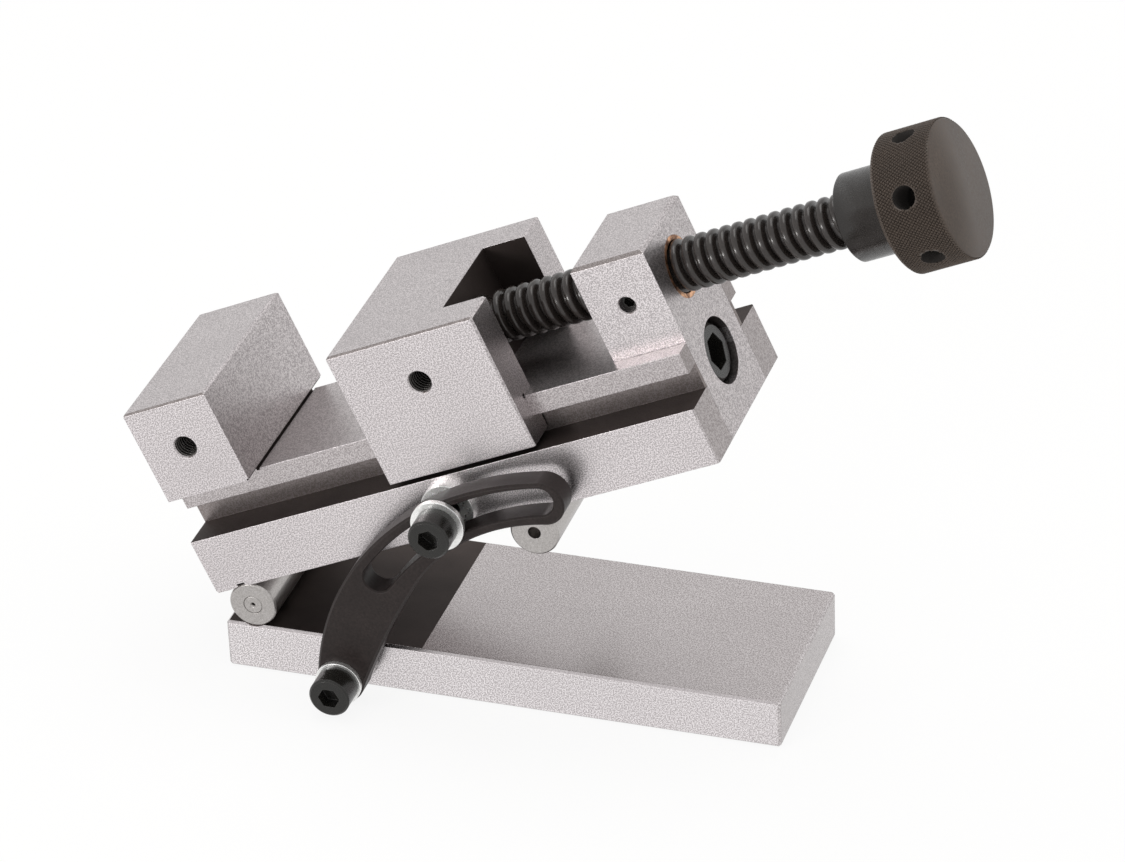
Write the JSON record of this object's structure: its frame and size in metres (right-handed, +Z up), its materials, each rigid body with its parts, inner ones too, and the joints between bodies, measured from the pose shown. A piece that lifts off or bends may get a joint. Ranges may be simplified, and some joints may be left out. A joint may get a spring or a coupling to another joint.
{
  "type": "sine vise",
  "caption": "Sine vise tilted on a ground base plate, with a fixed and a sliding jaw, a lead screw with a knurled knob, two rolls and a slotted arm that clamps the tilt.",
  "frame": {"origin": "middle of the base plate's underside", "axes": "+X along the base plate from the hinge roll towards the knob, +Y across it, away from the side with the slotted arm, +Z up"},
  "size_m": [0.257, 0.0838, 0.1969],
  "materials": {
    "ground_steel": "ground",
    "roll_steel": "ground and lapped",
    "arm_steel": "black oxide",
    "screw_steel": "black oxide, oiled",
    "knob_steel": "black oxide, knurled",
    "cap_screw_steel": "black oxide",
    "washer_steel": "bright zinc",
    "bronze": "turned"
  },
  "bodies": {
    "base": {"base_plate": "ground_steel", "arm_pivot_screw": "cap_screw_steel", "pivot_washer_outer": "washer_steel", "pivot_washer_inner": "washer_steel"},
    "arm": {"slotted_arm": "arm_steel"},
    "vise": {"vise_body": "ground_steel", "hinge_roll": "roll_steel", "hinge_roll_plug": "roll_steel", "sine_roll": "roll_steel", "roll_screws": "cap_screw_steel", "nut_block": "ground_steel", "nut_bush": "bronze", "bush_set_screw": "cap_screw_steel", "nut_block_screw": "cap_screw_steel", "arm_clamp_screw": "cap_screw_steel", "clamp_washer_outer": "washer_steel", "clamp_washer_inner": "washer_steel"},
    "jaw": {"movable_jaw": "ground_steel", "jaw_dog_screw": "cap_screw_steel"},
    "screw": {"lead_screw": "screw_steel", "knob": "knob_steel"}
  },
  "joints": [
    {"name": "tilt", "type": "hinge", "parent": "base", "child": "vise", "pos_m": [-0.0785, 0, 0.0229], "axis": [0, -1, 0], "range_deg": [-23.45, 21.1]},
    {"name": "arm_swing", "type": "hinge", "parent": "base", "child": "arm", "pos_m": [-0.0472, 0, 0.008], "axis": [0, -1, 0], "range_deg": [-30, 27]},
    {"name": "jaw_slide", "type": "slide", "parent": "vise", "child": "jaw", "axis": [0.9143, 0, 0.405], "range_m": [-0.04325, 0.041]},
    {"name": "screw_turn", "type": "hinge", "parent": "jaw", "child": "screw", "pos_m": [0.0176, 0, 0.12693], "axis": [0.9143, 0, 0.405], "range_deg": [-3900, 3700]}
  ],
  "couplings": [
    {"joint": "arm_swing", "follows": "tilt", "ratio": 1.277},
    {"joint": "screw_turn", "follows": "jaw_slide", "rad_per_m": 1570.8}
  ]
}
